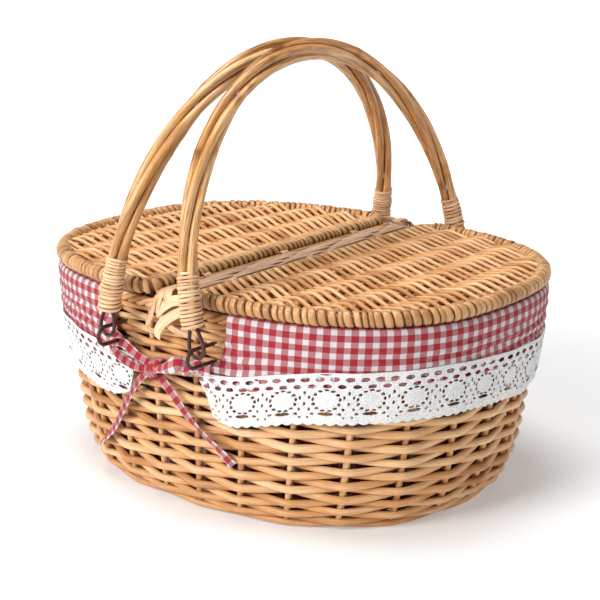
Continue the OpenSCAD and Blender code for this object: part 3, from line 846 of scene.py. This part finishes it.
def make_handle(side):
    """A handle: four rods twisted round each other, a bound stretch at each end and the wire loops."""
    name = BODIES[side] + "_handle"
    share = np.linspace(-0.012, 1.012, 170)
    for number in range(1, 5):
        strands = Strands(70 + number + 10 * side, side)
        path, size = handle_rod_path(number, share)
        knots = strands.random.uniform(0, 1, 5)
        knot = np.exp(-((share[:, None] - knots) / 0.006) ** 2).sum(1)
        swell = 1 + 0.025 * np.sin(share * 31 + number * 2) + 0.02 * np.sin(share * 83 + number) + 0.06 * knot
        tone = 0.3 + 0.12 * number + 0.12 * np.sin(share * 9 + number) - 0.3 * knot
        strands.rod(path, 1.97 * ROD_R * size * swell, out=(1, 0, 0.3), tone=tone, sides=16)
        strands.build(f"{name}_willow_{number}", name, "handle", f"{name}_rod_{number}")
    low, high = (arch_angle(u) for u in BINDING_U)
    for end in (1, -1):
        place = ENDS[end * side]
        f = np.linspace(low, high, 30)
        if end < 0:
            f = math.pi - f
        strands = Strands(90 + end + 5 * side, side)
        strands.winding(at_handle(arch_point(f)), (0.0092, 0.0081), 0.0027, groove=0.24, cover=0.88,
                        unevenness=0.22, out=handle_direction([1, 0, 0]), sides=20)
        strands.build(f"{name}_{place}_skein", name, "skein", f"{name}_{place}_binding")
        make_link(side, end, place)


def make_link(side, end, place):
    """Drop-shaped wire loop: its legs part from inside the binding and meet round the staple."""
    turn = np.linspace(0, math.pi, 17)
    bottom = xyz(LINK_R * np.cos(turn), 0, -LINK_R * np.sin(turn))
    leg = np.array([(0.002, 0, 0.022), (0.003, 0, 0.0165), (0.0052, 0, 0.01), (0.0068, 0, 0.0045)])
    points = np.vstack([leg, bottom, leg[::-1] * [-1, 1, 1]])
    path = curve_through(at_handle(points + [0, -end * LEG_Y, 0]), 90)
    strands = Strands(95, side)
    strands.rod(path, WIRE_D, out=(0, 1, 0), tone=0.5, sides=12)
    name = f"{BODIES[side]}_handle_{place}_link"
    strands.build(name + "_wire", BODIES[side] + "_handle", "wire", name)


def make_staple(node):
    """A wire bent round in front of the wall, both its legs pushed in between the weavers."""
    low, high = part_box(node)
    x = (low.x + high.x) / 2
    end = 1 if high.y > 0 else -1
    outer = (high.y if end > 0 else -low.y) - WIRE_D / 2
    radius = (high.z - low.z - WIRE_D) / 2
    turn = np.linspace(-math.pi / 2, math.pi / 2, 15)
    bend = [(x, end * (outer - radius + radius * math.cos(t)), (low.z + high.z) / 2 + radius * math.sin(t))
            for t in turn]
    legs = [(x, end * (outer - STAPLE_LEG), z) for z in (bend[0][2], bend[-1][2])]
    strands = Strands(96)
    path = curve_through([legs[0], *bend, legs[1]], 110)
    strands.rod(path, WIRE_D * 1.05, out=(1, 0, 0), tone=0.5, sides=12)
    strands.build(node + "_wire", "basket", "wire", node)


# ---- cloth

EDGE_SHARE = share_at(PANEL_EDGE_X)
PANEL_LENGTH = 2 * EDGE_SHARE * ROUND[-1]
SHEET_LENGTH = round(PANEL_LENGTH + 2 * max(REACHES), 3)


def lace_top(place):
    """Height of the lace's upper edge at a place from 0, the panel's front end, to 1, its rear end."""
    soft = np.linspace(-0.05, 0.05, 11)
    samples = np.interp(np.clip(np.asarray(place)[..., None] + soft, 0, 1), LACE_TOP_PLACES, LACE_TOP_HEIGHTS)
    return samples.mean(-1)


def panel_point(out, z, place):
    """Point a distance outside the wall, at a place from 0 to 1 along the right-hand panel."""
    return wall_point(out, z, EDGE_SHARE * (2 * place - 1))


def panel_distances(count):
    """Distances along a panel, from as far before its front end as cloth reaches to as far past its rear."""
    return np.linspace(-max(REACHES), PANEL_LENGTH + max(REACHES), count)


def within_ends(u, z):
    """Distances along a panel, those past its ends drawn back to the ends."""
    reach = np.interp(z, REACH_HEIGHTS, REACHES)
    return np.clip(u, -reach, PANEL_LENGTH + reach)


def kept_cells(u):
    """Which cells of a sheet were not squeezed flat at its ends."""
    corners = cell_corners(u)
    return corners.max(-1) - corners.min(-1) > 0.00005


def make_sheet(name, side, points, grain, keep, thickness, look, node):
    """A thin sheet from a grid of points, with only the cells of the grid that keep marks."""
    rows, columns = points.shape[:2]
    faces = cell_corners(np.arange(rows * columns).reshape(rows, columns))[keep]
    used = np.unique(faces)
    renumber = np.zeros(rows * columns, int)
    renumber[used] = np.arange(len(used))
    kept_points = (points * [side, side, 1]).reshape(-1, 3)[used]
    piece = make_piece(name, kept_points, renumber[faces].tolist(), grain.reshape(-1, 3)[used], "basket",
                       look, node)
    solid = piece.modifiers.new("cloth_thickness", "SOLIDIFY")
    solid.thickness = thickness
    solid.offset = 0
    return piece


def make_skirt(side):
    """The liner's turned-over edge: from inside the rim, over it and down to a hem behind the lace."""
    name = BODIES[side] + "_skirt"
    columns = 480
    rows_over = 22
    rows_down = 24
    u = panel_distances(columns)
    hem = lace_top(u / PANEL_LENGTH) - LACE_OVER_HEM
    over = curve_through([(-0.0122, 0, 0.15), (-0.012, 0, 0.159), (-0.0108, 0, 0.1645),
                          (-0.007, 0, 0.1662), (-0.003, 0, 0.1664), (0.0005, 0, 0.1661),
                          (0.0024, 0, 0.164), (0.0034, 0, 0.16), (0.0036, 0, 0.154)], rows_over)
    fall = np.linspace(0, 1, rows_down + 1)[1:, None]
    across = np.ones(columns)
    out = np.vstack([over[:, :1] * across, (over[-1, 0] - 0.0004 * fall) * across])
    z = np.vstack([over[:, 2:] * across, over[-1, 2] + fall * (hem - over[-1, 2])])
    u = within_ends(u, z)
    place = u / PANEL_LENGTH
    loose = np.clip((np.linspace(0, rows_over + rows_down, len(z))[:, None] - 18) / 10, 0, 1)
    crease = (0.0007 * np.sin(u * 38 + z * 520) + 0.0005 * np.sin(u * 71 - z * 900 + 1.3)
              + 0.0004 * np.sin(u * 130 + z * 1500))
    from_end = np.minimum(u, PANEL_LENGTH - u)
    tuck = np.exp(-(np.maximum(from_end, 0) / 0.03) ** 2)
    toward_tie = np.arctan2(z - 0.12, from_end + 0.03)
    gather = 0.0013 * tuck * np.sin(toward_tie * 30)
    points = panel_point(out + loose * (0.8 * crease + gather + 0.0004), z, place)
    pull = tuck * 0.008 * np.clip((0.155 - z) / 0.04, 0, 1)
    steps = np.hypot(np.diff(out, axis=0), np.diff(z, axis=0))
    drop = np.vstack([np.zeros(columns), np.cumsum(steps, 0)])
    lie = xyz(u + side * 0.0025, 1.12 * drop + 0.0022 - pull, 0)
    piece = make_sheet(name + "_cloth", side, points, lie, kept_cells(u), CLOTH_THICKNESS, "gingham", name)


def lace_holes():
    """(u, v, half length, half height) of each hole in one repeat of the lace; v runs down from its top."""
    third = LACE_TILE / 3
    holes = []
    for k in range(3):
        holes.append((third * k, 0.0048, 0.0034, 0.0019))
        holes.append((third * (k + 0.5), 0.0103, 0.0031, 0.0017))
    middle = LACE_TILE / 2
    for k in range(MEDAL_PETALS):
        angle = 2 * math.pi * k / MEDAL_PETALS
        flat = abs(math.cos(angle))
        holes.append((middle + 0.0098 * math.sin(angle), MEDAL_V - 0.0082 * math.cos(angle),
                      0.001 + 0.0008 * flat, 0.0016 - 0.0007 * flat))
    holes.append((middle, 0.0322, 0.0056, 0.0015))
    for k in (-1, 1):
        holes.append((middle + 0.0098 * k, 0.0322, 0.0016, 0.001))
        holes.append((0.003 * k, 0.035, 0.0011, 0.0009))
        holes.append((0.0034 * k, 0.019, 0.0009, 0.0015))
        holes.append((0.0037 * k, 0.0285, 0.001, 0.0013))
    for v in (0.0152, 0.024):
        holes.append((0, v, 0.001, 0.0015))
    return holes


def hole_distance(u, v, holes):
    """About how far a place is from the nearest hole's edge, negative inside the hole."""
    nearest = np.full(u.shape, 1.0)
    for hole_u, hole_v, half_u, half_v in holes:
        across = (u - hole_u + LACE_TILE / 2) % LACE_TILE - LACE_TILE / 2
        level = np.sqrt((across / half_u) ** 2 + ((v - hole_v) / half_v) ** 2)
        nearest = np.minimum(nearest, (level - 1) * min(half_u, half_v))
    return nearest


def make_lace(side):
    """The lace edging: a sheet with its eyelets cut through, threads raised round them."""
    name = BODIES[side] + "_lace"
    cell = 0.00078
    columns = int(SHEET_LENGTH / cell)
    rows = int((LACE_H + 0.002) / cell)
    u, v = np.meshgrid(panel_distances(columns), np.linspace(0, 1, rows))
    scallop = 0.0018 * np.abs(np.sin(math.pi * u / (LACE_TILE / 4)))
    v = v * (LACE_H + scallop)
    holes = lace_holes()
    step = 0.0001
    for _ in range(2):
        distance = hole_distance(u, v, holes)
        slope_u = (hole_distance(u + step, v, holes) - distance) / step
        slope_v = (hole_distance(u, v + step, holes) - distance) / step
        steep = np.maximum(slope_u ** 2 + slope_v ** 2, 0.05)
        near = (np.abs(distance) < 0.6 * cell * np.sqrt(steep)) & (v > 0.001) & (v < LACE_H - 0.001)
        u = u - np.where(near, distance * slope_u / steep, 0)
        v = v - np.where(near, distance * slope_v / steep, 0)
    distance = hole_distance(u, v, holes)
    rims = 0.0004 * np.exp(-((distance - 0.0006) / 0.0005) ** 2)
    across = (u % LACE_TILE) - LACE_TILE / 2
    from_middle = np.hypot(across, v - MEDAL_V)
    petals = np.cos(MEDAL_PETALS * np.arctan2(across, v - MEDAL_V))
    disc = 0.0004 * np.clip(1 - (from_middle / 0.0075) ** 4, 0, 1) * (1 + 0.5 * petals)
    z = lace_top(u / PANEL_LENGTH) - v
    u = within_ends(u, z)
    place = u / PANEL_LENGTH
    hang = v / LACE_H
    sway = 0.0009 * hang * np.sin(u * 75 + 1.1) + 0.0006 * np.sin(u * 140 + v * 60)
    out = 0.005 - 0.0012 * hang + sway + rims + disc
    points = panel_point(out, z, place)
    keep = hole_distance(cell_corners(u).mean(-1), cell_corners(v).mean(-1), holes) > 0
    keep = keep & kept_cells(u)
    piece = make_sheet(name + "_edging", side, points, xyz(u, v, 0), keep, LACE_THICKNESS, "lace", name)


def make_liner():
    """The cup of cloth inside the basket, laid against the wall and the base."""
    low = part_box("liner")[0].z
    columns = 420
    share = np.linspace(0, 1, columns)
    angle = 2 * np.pi * share
    rows = []
    lie = []
    for z in np.linspace(RIM_LOW - 0.003, 0.016, 22):
        crease = 0.0006 * np.sin(31 * angle + z * 130) + 0.0004 * np.sin(53 * angle - z * 90)
        rows.append(wall_point(crease - LINER_INSET, z, share))
        lie.append(xyz(share * ROUND[-1], -z, 0))
    foot = wall_point(-0.0155, 0.0105, share)
    for shrink in np.linspace(1, 0.004, 30):
        ring = foot * [shrink, shrink, 1]
        ring[:, 2] = low + 0.0016 + 0.0005 * np.sin(ring[:, 0] * 90) * np.sin(ring[:, 1] * 70)
        rows.append(ring)
        lie.append(xyz(ring[:, 0], ring[:, 1], 0))
    keep = np.ones((len(rows) - 1, columns - 1), bool)
    piece = make_sheet("liner_cloth", 1, np.array(rows), np.array(lie), keep, CLOTH_THICKNESS, "liner",
                       "liner")


# ---- the tie

def make_tail(name, route, curl):
    """A free end of the tie: a flat ribbon that widens a little and turns towards its cut end."""
    path = curve_through(route, 34)
    share = np.linspace(0, 1, len(path))
    twist = curl * (share - 0.1) + 0.35 * np.sin(share * 7)
    level_out = unit(path * [1, 1, 0])
    flat_out = level_out * np.cos(twist)[:, None] + np.array([0, 0, 1.0]) * np.sin(twist)[:, None]
    width = RIBBON_W * (0.78 + 0.34 * share ** 2)
    strands = Strands(101)
    strands.rod(path, width, 0.0013, out=flat_out, sides=14, blunt=0.96)
    piece = strands.build(name + "_ribbon", "basket", "ribbon", name)


def make_bow(end):
    """The knot, its loop and the straps that run to the two skirts. end is 1 at the front."""
    x, y, z = KNOT
    strands = Strands(103, end)
    loop = ((x, y, z + 0.002), (-0.024, -0.163, 0.1205), (-0.04, -0.1625, 0.1275), (-0.052, -0.1605, 0.1265),
            (-0.0595, -0.1575, 0.122), (-0.053, -0.1585, 0.1165), (-0.042, -0.1605, 0.113),
            (-0.027, -0.162, 0.111), (x, y, z - 0.001))
    puff = ((x + 0.004, y - 0.002, z + 0.001), (0.006, -0.1648, 0.1175), (0.014, -0.1668, 0.1215),
            (0.021, -0.165, 0.1245), (0.0255, -0.16, 0.1225))
    second = ((0.02, -0.1605, 0.119), (0.027, -0.1632, 0.1205), (0.033, -0.163, 0.124),
              (0.039, -0.16, 0.1262))
    strap = ((0.02, -0.16, 0.123), (0.028, -0.16, 0.1236), (0.034, -0.1596, 0.1236),
             (0.04, -0.159, 0.1234), (0.046, -0.1578, 0.123))
    bands = ((loop, (0.0056, 0.008, 0.0058, 0.0072, 0.0056), 0.002, 0.35),
             (puff, (0.006, 0.0085, 0.013, 0.0125, 0.008), 0.006, 0.6),
             (second, (0.005, 0.0105, 0.008, 0.006), 0.0048, 0.5),
             (strap, (0.007, 0.0092, 0.0098, 0.0104), 0.0014, 0.1))
    for points, widths, thickness, lean in bands:
        path = curve_through(points, 14 * len(points))
        strands.rod(path, spread(widths, len(path)), thickness, out=(0, -1.0, lean), sides=18, blunt=0.8)
    angle = np.linspace(0, 2 * np.pi, 40, endpoint=False)
    for k in (-1, 0, 1):
        turn_x = x + 0.0034 * k
        ring = xyz(turn_x + 0.0018 * np.sin(angle), y + 0.001 - 0.0052 * np.cos(angle),
                   z + 0.0074 * np.sin(angle) + 0.0012 * k)
        outward = ring - np.array([turn_x, y + 0.001, z])
        strands.rod(ring, 0.0052, 0.002, out=outward, loop=True, sides=12)
    name = ENDS[end] + "_bow"
    strands.build(name + "_ribbon", "basket", "ribbon", name)


# ---- stage

def make_stage():
    """A pale round floor that curves up into a backdrop all the way round, soft lights and a dim sky."""
    profile = curve_through([(0, 0, 0), (1.2, 0, 0), (2.2, 0, 0), (2.9, 0, 0.15), (3.3, 0, 0.7),
                             (3.4, 0, 1.8), (3.4, 0, 3.2)], 40)[1:]
    sides = 72
    turn = np.linspace(0, 2 * np.pi, sides, endpoint=False)
    points = [[r * math.cos(t), r * math.sin(t), z - 0.0002] for r, _, z in profile.tolist() for t in turn]
    faces = [[ring + k, ring + (k + 1) % sides, ring + sides + (k + 1) % sides, ring + sides + k]
             for ring in range(0, len(points) - sides, sides) for k in range(sides)]
    faces.append(list(range(sides))[::-1])
    floor = add_object("floor", make_mesh("floor", points, faces, floor_look()))
    world = bpy.data.worlds.new("studio")
    world.use_nodes = True
    world.node_tree.nodes["Background"].inputs["Color"].default_value = (1, 1, 1, 1)
    world.node_tree.nodes["Background"].inputs["Strength"].default_value = 0.2
    bpy.context.scene.world = world
    bpy.context.scene.view_settings.view_transform = "Standard"
    add_light("key", (-0.4, -1.95, 1.3), size=1.1, power=44)
    add_light("top", (-0.15, -0.1, 2.2), size=1.1, power=36)


def add_light(name, place, size, power):
    """A soft round lamp that faces the basket; power is in watts."""
    data = bpy.data.lights.new(name, "AREA")
    data.shape = "DISK"
    data.size = size
    data.energy = power
    stand_facing_basket(add_object(name, data), place)


# ---- the whole basket

make_camera()
LOOKS = make_looks()
make_tail("front_tail_long", LONG_TAIL, curl=0.9)
make_tail("front_tail_short", SHORT_TAIL, curl=-0.7)
for end in (1, -1):
    make_bow(end)
    make_lashing(end)
make_stakes()
make_weavers()
make_rope_ring("foot_rope", "foot_border", z=0.0044, out=-0.0125, twists=26, seed=24)
make_rope_ring("rim_rope", "rim_border", z=0.1605, out=-0.0048, twists=39, seed=25)
make_base()
make_bar()
make_liner()
for side in (1, -1):
    make_skirt(side)
    make_lace(side)
    make_lid(side)
    make_handle(side)
for node in ("front_left_staple", "front_right_staple", "rear_left_staple", "rear_right_staple"):
    make_staple(node)
make_stage()
